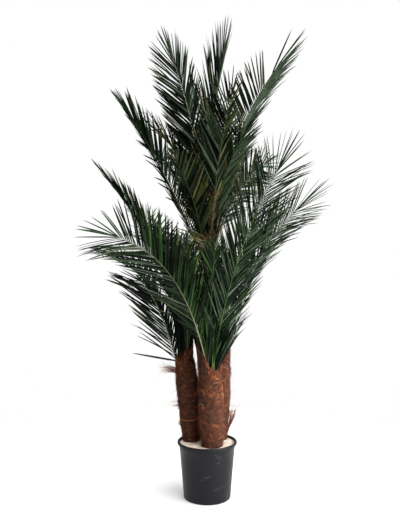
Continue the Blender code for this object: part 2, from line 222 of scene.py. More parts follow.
FRONDS = (
    Frond("tall", (0.40, -150), -138, 0.20, 0.86, (0.01, 0.50), 62,
          (0.22, 0.22), (36, 28), ("dark", "dark"), rib="straw", foot=0.6, open_at=0.15, packed=(1.5, 1.5),
          tip=0.7, fan=0.7, spiny=0.5),
    Frond("tall", (0.40, -25), -10, 0.05, 0.87, (-0.025, 0.53), -8,
          (0.28, 0.25), (24, 15), ("dark", "grey"), foot=0.6, open_at=0.2, packed=(1.7, 1.5), tip=0.8),
    Frond("tall", (0.75, -30), -27, 0.31, 0.79, (0.03, 0.47), -25,
          (0.20, 0.26), (50, 24), ("olive", "silver_bloom_and_painted_highlight"), foot=1.4, open_at=0.8, packed=(1.2, 1.9), fan=0.6,
          ends=(0.88, 1.0)),
    Frond("tall", (0.75, -165), -173, 0.365, 0.685, (0.22, 0.50), 34,
          (0.16, 0.22), (9, 15), ("dark", "green"), foot=3.3, open_at=0.75, packed=(1.0, 1.1), tip=0.5,
          fan=0.25, spiny=0.35),
    Frond("tall", (0.75, -80), -73, 0.29, 0.64, (0.06, 0.39), 0,
          (0.20, 0.14), (34, 22), ("dark", "olive"), rib="straw", spiny=0.4),
    Frond("tall", (0.75, 10), 5, 0.24, 0.38, (0.07, 0.26), -50,
          (0.19, 0.25), (44, 60), ("olive", "grey"), foot=1.0, open_at=0.2, packed=(1.5, 1.7), tip=0.35),
    Frond("tall", (0.75, 60), 58, 0.34, 0.49, (0.08, 0.34), 0,
          (0.15, 0.16), (38, 38), ("olive", "silver_bloom_and_painted_highlight"), foot=0.8, open_at=0.2, packed=(1.0, 1.2), tip=0.45),
    Frond("tall", (0.75, 105), 90, 0.33, 0.55, (0.09, 0.38), 0,
          (0.20, 0.20), (46, 46), ("grey", "green")),
    Frond("tall", (0.75, 150), 133, 0.34, 0.52, (0.09, 0.36), 0,
          (0.20, 0.20), (46, 46), ("dark", "green")),
    Frond("tall", (0.75, -122), -118, 0.30, 0.40, (0.12, 0.32), 0,
          (0.10, 0.18), (22, 34), ("dark", "olive"), tip=0.4),
    Frond("tall", (0.40, 60), 75, 0.16, 0.66, (0.03, 0.42), 8,
          (0.21, 0.21), (44, 44), ("green", "dark")),
    Frond("tall", (0.40, 150), 166, 0.24, 0.58, (0.03, 0.38), 20,
          (0.17, 0.18), (34, 34), ("dark", "olive"), foot=0.8, open_at=0.2, packed=(1.2, 1.2), tip=0.85),
    Frond("tall", (0.40, -85), -48, 0.22, 0.50, (0.04, 0.32), -30,
          (0.16, 0.19), (30, 26), ("olive", "silver_bloom_and_painted_highlight"), foot=0.8, open_at=0.3, packed=(1.0, 1.7), tip=0.6),
    Frond("front", (0.75, -110), -135, 0.50, 0.55, (0.14, 0.48), 50,
          (0.24, 0.24), (44, 40), ("green", "young"), rib="straw", foot=0.75, open_at=0.2,
          packed=(1.15, 1.15), fan=0.85, bare=(0.12, 0.03)),
    Frond("front", (0.75, -65), -47, 0.37, 0.84, (0.09, 0.48), -40,
          (0.25, 0.25), (31, 35), ("grey", "grey"), rib="fresh", foot=1.1, open_at=0.2, packed=(1.6, 1.4),
          tip=0.72, fan=1.15, wide=0.7),
    Frond("front", (0.75, -20), -19, 0.36, 0.69, (0.09, 0.44), -40,
          (0.23, 0.23), (24, 44), ("grey", "grey"), foot=0.5, open_at=0.78, packed=(1.0, 1.8), tip=0.8,
          fan=1.05, wide=0.85),
    Frond("front", (0.30, -90), -80, 0.14, 0.52, (0.03, 0.30), 0,
          (0.15, 0.15), (26, 28), ("young", "green"), rib="fresh", foot=0.6, open_at=0.2,
          packed=(1.0, 1.1), tip=0.3),
    Frond("front", (0.75, 20), 22, 0.27, 0.60, (0.07, 0.40), -50,
          (0.27, 0.27), (34, 22), ("olive", "grey"), foot=0.8, open_at=0.2, packed=(2.0, 1.8), wide=0.85),
    Frond("front", (0.75, 175), 165, 0.24, 0.48, (0.01, 0.38), 0,
          (0.20, 0.20), (46, 46), ("dark", "green")),
    Frond("front", (0.75, 120), 130, 0.24, 0.48, (0.06, 0.34), 0,
          (0.19, 0.19), (46, 46), ("dark", "green")),
    Frond("left", (0.70, -176), -174, 0.32, 0.83, (0.02, 0.47), 34,
          (0.16, 0.21), (8, 14), ("dark", "dark"), foot=1.9, open_at=0.8, packed=(1.2, 1.5), tip=0.65,
          fan=0.25),
    # This frond lies in shade behind the others: its black leaflets are painted shade.
    Frond("left", (0.95, -158), -124, 0.26, 0.39, (0.125, 0.295), 50,
          (0.26, 0.11), (30, 30), ("black", "black"), foot=1.3, open_at=0.25, packed=(0.95, 1.1), tip=0.45),
    Frond("left", (0.70, -60), -90, 0.24, 0.47, (0.09, 0.30), 0,
          (0.16, 0.16), (24, 22), ("young", "young")),
    Frond("left", (0.70, 105), 128, 0.34, 0.66, (0.08, 0.42), 0,
          (0.20, 0.20), (46, 46), ("green", "dark")),
    Frond("left", (0.70, 50), 92, 0.34, 0.50, (0.09, 0.36), 0,
          (0.20, 0.20), (46, 46), ("dark", "green")),
    Frond("left", (0.70, 140), 158, 0.34, 0.45, (0.12, 0.38), 0,
          (0.20, 0.20), (46, 46), ("green", "grey"), bare=(0.45, 0.45)),
)
# Young blades that stand up out of the heart of a trunk: how many, from bearing, to bearing, tone mix
# (partly dye, and in the black mix painted shade), shortest, longest and how far they lean out.
Heart = namedtuple("Heart", "trunk count first last dye shortest longest lean", defaults=((0.02, 0.22),))
HEARTS = (
    Heart("front", 44, -140, 10, "young", 0.14, 0.27),
    Heart("front", 9, -112, -70, "fresh", 0.20, 0.30),
    Heart("front", 52, -60, 14, "green", 0.14, 0.28, (0.18, 0.58)),
    Heart("left", 34, -150, 20, "black", 0.14, 0.26, (0.0, 0.14)),
    Heart("tall", 30, -180, 180, "dark", 0.16, 0.30),
    Heart("front", 37, -40, 20, "dark", 0.14, 0.25, (0.20, 0.50)),
)
# Dry blades that have broken over at the rim of a sheath: trunk, how many, from bearing, to bearing, how
# far under the rim, their way (out along the bearing, round to the left, up), how wide they fan out,
# shortest and longest.
Broken = namedtuple("Broken", "trunk count first last below way fan shortest longest")
BROKEN_BLADES = (
    Broken("tall", 44, -150, -85, 0.13, (0.75, 1.25, -0.50), 0.40, 0.12, 0.26),
    Broken("tall", 18, -120, -70, 0.09, (1.00, -1.00, 0.55), 0.30, 0.10, 0.20),
)
# One dark leaflet stands out alone from the left trunk: bearing, height, its way (out, up) and length.
LONE_LEAFLET = (-170, 0.615, (1.0, 0.20), 0.21)
# Others stand off the left side of two tall fronds: which frond, share of the rib, angle off it and length.
STRAY_LEAFLETS = (
    (2, 0.95, 15, 0.20),
    (3, 0.27, 50, 0.09),
    (3, 0.33, 42, 0.11),
    (3, 0.38, 48, 0.10),
    (3, 0.46, 38, 0.12),
    (3, 0.52, 44, 0.10),
    (3, 0.60, 34, 0.11),
)

# A leaflet at shares of the leafy rib: its length until the frond's tip shortens it, its width, and how
# far it is lifted, in degrees, to make the shallow V.
LEAFLET_LENGTH = ((0.0, 0.85), (0.2, 1.0), (0.6, 1.0))
LEAFLET_WIDTHS = ((0.0, 0.9), (0.2, 1.0), (0.7, 0.95), (1.0, 0.6))
LEAFLET_LIFT = ((0.0, 30), (0.6, 24), (1.0, 10))
LAST_ANGLE = 0.14  # how open the very last leaflets are, as a share of the spread
ROOT_SIDE = 0.42  # a leaflet is rooted this share of the rib's width off its middle
# what differs from leaflet to leaflet: length, width, sag, and spread, lift and twist in degrees
LEAFLET_LENGTHS = (0.92, 1.04)
LEAFLET_BREADTHS = (0.90, 1.08)
LEAFLET_SAGS = (0.02, 0.11)
LEAFLET_STRAY = (3.5, 6.0, 20.0)
SWERVES = (0, 10, -10, 20, -20, 32)  # degrees a leaflet is lifted on, one by one, to pass a limb
LOOK_FROM = 0.012  # limbs in its way are looked for from this far along it, past its own rib
LIMB_GAP = 0.008  # one that is cut ends this far short of the limb
SHORTEST = 0.3  # one that is cut shorter than this share of its length is left out
DRY_TIPPED = 0.12  # share of the leaflets with an olive and straw tip
# a leaflet's half width and fold depth along it, as shares of the widest half width
BLADE = ((0.0, 0.50, 0.30), (0.05, 0.76, 0.40), (0.18, 0.95, 0.42), (0.42, 1.0, 0.36),
         (0.66, 0.84, 0.24), (0.87, 0.52, 0.12))


# ---- Reading shapes -------------------------------------------------------------------------------
def between(keys, share):
    """Read a value off (share, value) keys, eased from key to key."""
    for (s0, v0), (s1, v1) in zip(keys, keys[1:]):
        if share <= s1:
            t = (share - s0) / (s1 - s0)
            t = t * t * (3.0 - 2.0 * t)
            return v0 + (v1 - v0) * t
    return keys[-1][1]


def heading(bearing):
    """The level direction of a bearing in degrees."""
    angle = math.radians(bearing)
    return Vector((math.cos(angle), math.sin(angle), 0.0))


def trunk_middle(trunk, share):
    """The middle of a trunk at a share of its height."""
    foot = Vector((*trunk.foot, TRUNK_BOTTOM))
    middle = foot.lerp(Vector(trunk.top), share)
    middle.x += trunk.bow * 4.0 * share * (1.0 - share)
    return middle


def share_of(trunk, height):
    return (height - TRUNK_BOTTOM) / (trunk.top[2] - TRUNK_BOTTOM)


def cut_normal(trunk):
    """The direction that a trunk's slanting cut faces."""
    slope = math.radians(trunk.slope)
    return heading(trunk.low_side) * math.sin(slope) + UP * math.cos(slope)


def cut_height(trunk, point):
    """Height of the trunk's slanting cut over a point."""
    normal = cut_normal(trunk)
    away = point - Vector(trunk.top)
    return trunk.top[2] - (normal.x * away.x + normal.y * away.y) / normal.z


def wrap_relief(trunk, bearing, height):
    """How far the fibre wrap stands out: lumps, and laps where one turn ends over the next."""
    place = heading(bearing) * 1.6 + Vector((trunk.foot[0] * 50, 0.0, height * 24.0))
    broad, small = WRAP_LUMPS
    lumps = noise.noise(place) * broad + noise.noise(place * 3.3) * small
    turn = height / WRAP_PITCH + bearing / 360 + noise.noise(place * 0.8) * 0.25
    lap = (turn % 1.0) ** 3
    return lumps + lap * WRAP_LAP - WRAP_LAP / 2


def pick(chance, counts):
    """One name out of a table that says how many there are of each."""
    return chance.choices(list(counts), counts.values())[0]


def radius_at(trunk, share):
    return between(trunk.radii, max(0.0, min(share, 1.0)))


def on_trunk(trunk, bearing, height, proud=0.0):
    """A point on the wrapped trunk's skin, or proud of it."""
    share = share_of(trunk, height)
    radius = radius_at(trunk, share) + proud
    if share > 0.01:  # below this, the trunk stands smooth in the fill
        radius += wrap_relief(trunk, bearing, height)
    return trunk_middle(trunk, share) + heading(bearing) * radius


# ---- Materials ------------------------------------------------------------------------------------
MIX_A, MIX_B, MIX_RESULT = 6, 7, 2  # the colour sockets of a Mix node


def linear(hex_colour):
    """The linear colour of an sRGB hex value."""
    channels = [int(hex_colour[i : i + 2], 16) / 255 for i in (1, 3, 5)]
    return (*[c / 12.92 if c <= 0.04045 else ((c + 0.055) / 1.055) ** 2.4 for c in channels], 1.0)


def add_node(tree, kind, inputs=None, **settings):
    """Add a node. inputs gives each socket a value or another node's output."""
    new = tree.nodes.new("ShaderNode" + kind)
    for name, value in settings.items():
        setattr(new, name, value)
    for socket, value in (inputs or {}).items():
        if isinstance(value, bpy.types.NodeSocket):
            tree.links.new(value, new.inputs[socket])
        else:
            new.inputs[socket].default_value = value
    return new


def start_material(name, roughness, specular=0.5):
    material = bpy.data.materials.new(name)
    material.use_nodes = True
    tree = material.node_tree
    shader = tree.nodes["Principled BSDF"]
    shader.inputs["Roughness"].default_value = roughness
    shader.inputs["Specular IOR Level"].default_value = specular
    place = add_node(tree, "TexCoord").outputs["Object"]
    return material, tree, shader, place


def scale_for(millimetres):
    """The scale of a pattern whose patches or grains are this wide."""
    return 1000.0 / millimetres


def patches(tree, place, millimetres, detail, edge, colours):
    """Two colours in soft patches; edge says between which values of the noise one turns to the other."""
    cloud = add_node(tree, "TexNoise", {"Vector": place, "Scale": scale_for(millimetres), "Detail": detail})
    spread = add_node(
        tree, "MapRange", {"Value": cloud.outputs["Fac"], "From Min": edge[0], "From Max": edge[1]}
    )
    mix = {0: spread.outputs["Result"], MIX_A: linear(colours[0]), MIX_B: linear(colours[1])}
    return add_node(tree, "Mix", mix, data_type="RGBA").outputs[MIX_RESULT]


def finish(tree, shader, colour, relief, strength, depth):
    """Give the shader its colour, and a bump of a strength and a depth in metres."""
    bump = add_node(tree, "Bump", {"Height": relief, "Strength": strength, "Distance": depth})
    tree.links.new(colour, shader.inputs["Base Color"])
    tree.links.new(bump.outputs["Normal"], shader.inputs["Normal"])


def leaf_material(name, hex_colour, hex_mottle, roughness, specular):
    """Dyed preserved leaf: a waxy skin with soft mottling and fine veins along the leaflet. Its blackish,
    grey and pale tones also serve as painted shade and painted highlight.
    """
    material, tree, shader, place = start_material(name, roughness, specular)
    colour = patches(tree, place, 71.43, 3.0, (0.35, 0.68), (hex_colour, hex_mottle))
    across = add_node(tree, "UVMap", uv_map="blade").outputs["UV"]
    # real veins lie 0.5 mm apart: seven are drawn over the width so that they show
    veins = add_node(
        tree, "TexWave", {"Vector": across, "Scale": 1.1, "Distortion": 0.0}, bands_direction="X"
    )
    finish(tree, shader, colour, veins.outputs["Fac"], 0.25, 0.0002)
    return material


def rib_material(name, hex_colour, hex_patch):
    """Leaf stalk: smooth and waxy, its colour changing in long patches, faintly pitted."""
    material, tree, shader, place = start_material(name, 0.42, 0.3)
    colour = patches(tree, place, 222.22, 2.0, (0.4, 0.62), (hex_colour, hex_patch))
    grain = add_node(tree, "TexNoise", {"Vector": place, "Scale": scale_for(6.25), "Detail": 2.0})
    finish(tree, shader, colour, grain.outputs["Fac"], 0.2, 0.0005)
    return material


def fibre_material(name, hex_dark, hex_light, roughness=0.85):
    """Coir: dry, matt brown fibre whose colour changes from bundle to bundle."""
    material, tree, shader, place = start_material(name, roughness, 0.25)
    colour = patches(tree, place, 14.286, 5.0, (0.36, 0.66), (hex_dark, hex_light))
    # hairs are 0.3 mm thick: the relief is drawn at 1.5 mm so that it shows
    hairs = add_node(tree, "TexNoise", {"Vector": place, "Scale": scale_for(1.53846), "Detail": 3.0})
    finish(tree, shader, colour, hairs.outputs["Fac"], 0.6, 0.001)
    return material


# Scuffs on the front of the pot: from (x, z), to (x, z), and half their width.
SCUFFS = (
    ((0.012, 0.064), (0.088, 0.080), 0.0010),
    ((0.028, 0.059), (0.064, 0.067), 0.0006),
    ((-0.024, 0.121), (0.020, 0.131), 0.0018),
    ((-0.040, 0.108), (-0.006, 0.115), 0.0008),
    ((0.032, 0.231), (0.044, 0.206), 0.0008),
    ((0.039, 0.229), (0.052, 0.200), 0.0008),
    ((0.047, 0.226), (0.061, 0.197), 0.0008),
    ((0.056, 0.222), (0.067, 0.199), 0.0006),
    ((0.036, 0.186), (0.060, 0.193), 0.0013),
)


def scuff(tree, where, start, end, half):
    """How strongly a straight rub mark shows at a point of the pot's front: 1 on it, 0 off it."""
    slope = (end[1] - start[1]) / (end[0] - start[0])
    middle, reach = (start[0] + end[0]) / 2, (end[0] - start[0]) / 2
    level = start[1] - slope * start[0]
    line = add_node(tree, "Math", {0: where["X"], 1: slope, 2: level}, operation="MULTIPLY_ADD")
    off = add_node(tree, "Math", {0: where["Z"], 1: line.outputs[0]}, operation="SUBTRACT")
    away = add_node(tree, "Math", {0: off.outputs[0]}, operation="ABSOLUTE")
    wide = half * math.hypot(1.0, slope)
    near = add_node(tree, "MapRange", {"Value": away.outputs[0], "From Min": wide, "From Max": 0.0})
    along = add_node(tree, "Math", {0: where["X"], 1: middle}, operation="SUBTRACT")
    spot = add_node(tree, "Math", {0: along.outputs[0]}, operation="ABSOLUTE")
    within = add_node(
        tree, "MapRange", {"Value": spot.outputs[0], "From Min": reach, "From Max": reach * 0.4}
    )
    front = add_node(tree, "Math", {0: where["Y"], 1: 0.0}, operation="LESS_THAN")
    both = {0: near.outputs["Result"], 1: within.outputs["Result"]}
    mark = add_node(tree, "Math", both, operation="MULTIPLY")
    return add_node(
        tree, "Math", {0: mark.outputs[0], 1: front.outputs[0]}, operation="MULTIPLY"
    ).outputs[0]


def pot_material():
    """Black polypropylene, injection moulded: a satin skin, clouded, with grey rub marks."""
    material, tree, shader, place = start_material("moulded_black_polypropylene", 0.42, 0.2)
    where = add_node(tree, "SeparateXYZ", {"Vector": place}).outputs
    marks = 0.0
    for start, end, half in SCUFFS:
        mark = scuff(tree, where, start, end, half)
        marks = add_node(tree, "Math", {0: mark, 1: marks}, operation="MAXIMUM").outputs[0]
    # the rub marks break up, and the skin is pitted, in grains of 2 mm
    grains = add_node(
        tree, "TexNoise", {"Vector": place, "Scale": scale_for(1.92308), "Detail": 2.0}
    ).outputs["Fac"]
    broken = add_node(
        tree, "MapRange", {"Value": grains, "From Min": 0.38, "From Max": 0.62, "To Max": 0.85}
    )
    rubbed = add_node(tree, "Math", {0: marks, 1: broken.outputs["Result"]}, operation="MULTIPLY")
    cloud = add_node(
        tree, "TexNoise", {"Vector": place, "Scale": scale_for(90.909), "Detail": 3.0}
    ).outputs["Fac"]
    base = add_node(
        tree, "Mix", {0: cloud, MIX_A: linear("#0B0C0E"), MIX_B: linear("#14151A")}, data_type="RGBA"
    )
    colour = add_node(
        tree,
        "Mix",
        {0: rubbed.outputs[0], MIX_A: base.outputs[MIX_RESULT], MIX_B: linear("#72767C")},
        data_type="RGBA",
    )
    rough = add_node(tree, "MapRange", {"Value": cloud, "To Min": 0.34, "To Max": 0.54})
    tree.links.new(rough.outputs["Result"], shader.inputs["Roughness"])
    finish(tree, shader, colour.outputs[MIX_RESULT], grains, 0.12, 0.0005)
    return material


def fill_material():
    """Set filler: a pale, chalky cast with sandy grains and tan stains."""
    material, tree, shader, place = start_material("set_pale_filler", 0.9, 0.3)
    base = patches(tree, place, 41.667, 4.0, (0.38, 0.7), ("#FAF0E4", "#DDBFA3"))
    grit = add_node(
        tree, "TexNoise", {"Vector": place, "Scale": scale_for(2.08333), "Detail": 2.0}
    ).outputs["Fac"]
    speck = add_node(tree, "MapRange", {"Value": grit, "From Min": 0.56, "From Max": 0.72})
    colour = add_node(
        tree,
        "Mix",
        {0: speck.outputs["Result"], MIX_A: base, MIX_B: linear("#B08A6B")},
        data_type="RGBA",
    )
    finish(tree, shader, colour.outputs[MIX_RESULT], grit, 0.5, 0.0015)
    return material


# The blackish tone is partly painted shade. The grey-green one is partly grey bloom and partly painted
# highlight, and the pale one is partly a painted highlight.
LEAF_TONES = {
    "deep": leaf_material("leaf_blackish_and_painted_shade", "#090E08", "#121911", 0.38, 0.04),
    "dark": leaf_material("dyed_leaf_dark", "#101911", "#1B2A1B", 0.38, 0.09),
    "green": leaf_material("dyed_leaf_green", "#1C2C16", "#2B4022", 0.38, 0.16),
    "grey": leaf_material("leaf_grey_green_and_painted_highlight", "#3B4E38", "#5A6E53", 0.45, 0.24),
    "fresh": leaf_material("dyed_leaf_fresh", "#264418", "#3B6126", 0.38, 0.16),
    "olive": leaf_material("dyed_leaf_olive", "#3A4220", "#596032", 0.48, 0.12),
    "pale": leaf_material("leaf_pale_and_painted_highlight", "#6C7A63", "#929D86", 0.45, 0.30),
    "straw": leaf_material("dry_leaf_straw", "#7A724A", "#A09463", 0.6, 0.10),
}
# How many leaflets of each tone a mix gives. Part of the spread is dye that takes unevenly, and part is
# painted light:
# the grey, silver and pale leaflets are also painted highlights, and the deep ones and the whole black mix
# are painted shade. The dry mix is mostly pale, which is a painted highlight on blades that hang in shade.
DYES_AND_PAINTED_LIGHT = {
    "black": {"deep": 8, "dark": 3},
    "dark": {"deep": 12, "dark": 9, "green": 4, "grey": 5, "pale": 1},
    "green": {"deep": 4, "dark": 9, "green": 9, "grey": 4, "pale": 1},
    "grey": {"dark": 8, "green": 6, "grey": 12, "pale": 1},
    "silver_bloom_and_painted_highlight": {"green": 2, "grey": 8},
    "olive": {"deep": 3, "dark": 7, "green": 5, "olive": 8, "grey": 2, "straw": 1},
    "young": {"deep": 2, "dark": 5, "green": 4, "fresh": 2},
    "fresh": {"green": 1, "fresh": 3},
    "dry": {"olive": 2, "straw": 4, "pale": 5},
}
RIB_TONES = {
    "dark": rib_material("waxy_stalk_dark", "#2A3A22", "#4A5A34"),
    "fresh": rib_material("waxy_stalk_fresh", "#33581F", "#547A36"),
    "straw": rib_material("waxy_stalk_straw", "#57563A", "#8A8566"),
    "spine": rib_material("dry_spine", "#8A7A55", "#C0B28A"),
    "brown_spine": rib_material("dry_spine_brown", "#6E4226", "#A06A42"),
}
# The pale strand is real pale fibre. In the two small tufts on the front trunk it is also a painted
# highlight.
FIBRE_TONES = {
    "core": fibre_material("matted_coir", "#2C180F", "#4C2C1D", 0.95),
    "brown": fibre_material("coir_strand_brown", "#4A2415", "#6F3921"),
    "russet": fibre_material("coir_strand_russet", "#68341C", "#964D28"),
    "ginger": fibre_material("coir_strand_ginger", "#985430", "#C27C4A"),
    "pale": fibre_material("coir_strand_pale_and_painted_highlight", "#B89A78", "#D8C4A8"),
}
FILLER = {"filler": fill_material()}
POT_SKIN = pot_material()


# ---- Pieces ---------------------------------------------------------------------------------------
def hand_over(piece, nodes):
    """Let a finished piece ride on the palm, in place of its nodes."""
    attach(piece, BODY)
    if nodes:
        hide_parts(*nodes)


class Heap:
    """Many small closed shapes that become one mesh, each in a tone of the heap's own set."""

    def __init__(self, tones):
        self.materials = list(tones.values())
        self.places = {tone: place for place, tone in enumerate(tones)}
        self.points = []
        self.faces = []
        self.tones = []
        self.across = []

    def add(self, points, faces, tone, across=None, ends=()):
        """Add a shape. across is the U of each point, and ends the tones of its last faces."""
        start = len(self.points)
        self.points.extend(points)
        self.faces.extend(tuple(start + corner for corner in face) for face in faces)
        self.tones.extend([self.places[tone]] * (len(faces) - len(ends)))
        self.tones.extend(self.places[end] for end in ends)
        self.across.extend(across or [0.0] * len(points))

    def piece(self, name, slot, nodes, smooth=True):
        mesh = bpy.data.meshes.new(name)
        mesh.from_pydata([tuple(point) for point in self.points], [], self.faces)
        layer = mesh.uv_layers.new(name="blade")
        for loop in mesh.loops:
            layer.data[loop.index].uv = (self.across[loop.vertex_index], 0.0)
        for material in self.materials:
            mesh.materials.append(material)
        mesh.polygons.foreach_set("material_index", self.tones)
        if smooth:
            mesh.shade_smooth()
            mesh.set_sharp_from_angle(angle=math.radians(40))
        piece = bpy.data.objects.new(name, mesh)
        bpy.context.scene.collection.objects.link(piece)
        hand_over(piece, nodes)


def tube(path, widths, thicks, aside, sides):
    """Closed tapering tube along a path; aside gives the direction of its width at each point."""
    rows = len(path)
    points = []
    for i, middle in enumerate(path):
        along = (path[min(i + 1, rows - 1)] - path[max(i - 1, 0)]).normalized()
        wide = (aside[i] - along * aside[i].dot(along)).normalized()
        deep = along.cross(wide)
        for side in range(sides):
            angle = math.tau * side / sides
            offset = wide * (math.cos(angle) * widths[i] / 2) + deep * (math.sin(angle) * thicks[i] / 2)
            points.append(middle + offset)
    faces = [tuple(reversed(range(sides)))]
    for row in range(rows - 1):
        for side in range(sides):
            after = (side + 1) % sides
            low, high = row * sides, (row + 1) * sides
            faces.append((low + side, low + after, high + after, high + side))
    faces.append(tuple((rows - 1) * sides + side for side in range(sides)))
    return points, faces


# ---- Pot and fill ---------------------------------------------------------------------------------
def turned_by_extrusion(name, sides, profile):
    """A disc extruded up a profile of (radius, height), so that it ends closed."""
    radius, height = profile[0]
    bpy.ops.mesh.primitive_circle_add(
        vertices=sides, radius=radius, fill_type="NGON", location=(0.0, 0.0, height)
    )
    obj = bpy.context.object
    obj.name = obj.data.name = name
    bpy.ops.object.mode_set(mode="EDIT")
    bpy.ops.mesh.select_all(action="SELECT")
    for (r0, h0), (r1, h1) in zip(profile, profile[1:]):
        bpy.ops.mesh.extrude_region_move(TRANSFORM_OT_translate={"value": (0.0, 0.0, h1 - h0)})
        bpy.ops.transform.resize(value=(r1 / r0, r1 / r0, 1.0))
    bpy.ops.mesh.select_all(action="SELECT")
    bpy.ops.mesh.normals_make_consistent(inside=False)
    bpy.ops.object.mode_set(mode="OBJECT")
    bpy.ops.object.transform_apply(location=True, rotation=True, scale=True)
    return obj


def rounded(middle, radius, first, last, steps):
    """Points of an arc about (radius, height), from one angle in degrees to another."""
    for step in range(steps + 1):
        angle = math.radians(first + (last - first) * step / steps)
        yield (middle[0] + radius * math.cos(angle), middle[1] + radius * math.sin(angle))


def wall_radius(height):
    return POT_FOOT_RADIUS + (POT_NECK_RADIUS - POT_FOOT_RADIUS) * height / POT_NECK


def make_pot():
    under, over, mouth = POT_LIP_ROUNDS
    inside = POT_NECK_RADIUS - POT_WALL
    band = POT_NECK - BAND_HEIGHT
    foot = (POT_FOOT_RADIUS - POT_FOOT_EDGE, POT_FOOT_EDGE)
    profile = [(POT_FOOT_RADIUS - POT_FOOT_SEAT, 0.0)]
    profile += rounded(foot, POT_FOOT_EDGE, -90, -8, 4)
    profile += [(wall_radius(h) - BAND_DEPTH, h) for h in (*POT_RINGS, band - 0.001)]
    profile += [(wall_radius(h), h) for h in (band, POT_NECK - 0.004)]
    profile += [(POT_NECK_RADIUS, POT_NECK - 0.001), (POT_NECK_RADIUS + 0.0012, POT_NECK)]
    profile += rounded((POT_LIP_RADIUS - under, POT_NECK + under), under, -90, 0, 3)
    profile += rounded((POT_LIP_RADIUS - over, POT_HEIGHT - over), over, 0, 90, 6)
    profile += rounded((inside + mouth, POT_HEIGHT - mouth), mouth, 90, 180, 4)
    profile += [(inside, POT_NECK), (wall_radius(POT_FLOOR) - POT_WALL, POT_FLOOR)]
    pot = turned_by_extrusion("nursery_pot", POT_SIDES, profile)
    pot.data.materials.append(POT_SKIN)
    bpy.ops.object.shade_smooth_by_angle(angle=math.radians(40))
    hand_over(pot, ["pot"])


def make_fill():
    """The set fill, with its top lifted into lumps."""
    rim = POT_NECK_RADIUS - POT_WALL - FILL_GAP
    foot = POT_FLOOR + FILL_GAP
    level = FILL_TOP - FILL_SINK
    profile = [(wall_radius(foot) - POT_WALL - FILL_GAP, foot), (rim, POT_NECK), (rim, level)]
    profile += [(rim * (1.0 - ring / FILL_RINGS), level) for ring in range(1, FILL_RINGS)]
    fill = turned_by_extrusion("set_fill", POT_SIDES, profile)
    broad, small, most = FILL_LUMPS
    for vert in fill.data.vertices:
        if vert.co.z > level - 0.001 and vert.co.xy.length < rim - 0.001:
            lumps = noise.noise(vert.co * 30.0) * broad + noise.noise(vert.co * 110.0) * small
            vert.co.z += min(lumps, most)
    fill.data.materials.append(FILLER["filler"])
    bpy.ops.object.shade_smooth_by_angle(angle=math.radians(50))
    hand_over(fill, ["fill"])


def make_crumbs():
    """Loose grains of the filler, lying on it."""
    bpy.ops.mesh.primitive_ico_sphere_add(subdivisions=1, radius=1.0, location=(0.0, 0.0, 0.0))
    grain = bpy.context.object
    corners = [vert.co.copy() for vert in grain.data.vertices]
    faces = [tuple(polygon.vertices) for polygon in grain.data.polygons]
    bpy.data.objects.remove(grain, do_unlink=True)
    chance = random.Random(11)
    heap = Heap(FILLER)
    for _ in range(CRUMBS):
        size = chance.uniform(*CRUMB_SIZES)
        away = CRUMB_REACH * math.sqrt(chance.random())
        place = heading(chance.uniform(0, 360)) * away + UP * (FILL_TOP - CRUMB_SINK)
        squash = Vector([chance.uniform(*span) for span in CRUMB_SQUASH])
        heap.add([place + corner * squash * size for corner in corners], faces, "filler")
    heap.piece("fill_crumbs", "fill", [], smooth=False)


# ---- Trunks ---------------------------------------------------------------------------------------
def make_core(name, trunk):
    """The matted trunk under its loose strands: a cylinder shaped to the trunk and cut aslant."""
    tall = trunk.top[2] - TRUNK_BOTTOM
    reach = 1.0 + TRUNK_SPARE / tall
    rows = round(tall * reach / TRUNK_ROW)
    bpy.ops.mesh.primitive_cylinder_add(
        vertices=TRUNK_SIDES, radius=1.0, depth=1.0, end_fill_type="NGON", location=(0.0, 0.0, 0.5)
    )
    core = bpy.context.object
    core.name = core.data.name = "trunk_core_" + name
    bpy.ops.object.transform_apply(location=True, rotation=True, scale=True)
    bpy.ops.object.mode_set(mode="EDIT")
    bpy.ops.mesh.select_all(action="DESELECT")
    bpy.ops.mesh.select_mode(type="EDGE")
    bm = bmesh.from_edit_mesh(core.data)
    for edge in bm.edges:
        edge.select_set(abs(edge.verts[0].co.z - edge.verts[1].co.z) > 0.5)
    bmesh.update_edit_mesh(core.data)
    bpy.ops.mesh.subdivide(number_cuts=rows - 1)
    bm = bmesh.from_edit_mesh(core.data)
    for vert in bm.verts:
        bearing = math.degrees(math.atan2(vert.co.y, vert.co.x))
        point = on_trunk(trunk, bearing, TRUNK_BOTTOM + vert.co.z * reach * tall, -MAT_DEPTH)
        knots = noise.noise(Vector((point.x * 90.0, point.y * 90.0, point.z * 55.0))) * CORE_KNOTS
        vert.co = point + heading(bearing) * knots
    bmesh.update_edit_mesh(core.data)
    bpy.ops.mesh.select_all(action="SELECT")
    bpy.ops.mesh.bisect(
        plane_co=trunk.top, plane_no=cut_normal(trunk), use_fill=True, clear_outer=True
    )
    bpy.ops.mesh.select_all(action="SELECT")
    bpy.ops.mesh.normals_make_consistent(inside=False)
    bpy.ops.mesh.select_mode(type="VERT")
    bpy.ops.object.mode_set(mode="OBJECT")
    core.data.materials.append(FIBRE_TONES["core"])
    bpy.ops.object.shade_smooth_by_angle(angle=math.radians(50))
    hand_over(core, ["trunk_" + name])
    return core


def rim_height(name, bearing):
    """Height of the torn rim of the sheath at a bearing round the trunk."""
    trunk = TRUNKS[name]
    bearing = (bearing + 180) % 360 - 180
    edge = Vector(trunk.top) + heading(bearing) * between(trunk.radii, 1.0)
    return cut_height(trunk, edge) + between(SHEATH_RIMS[name], bearing)


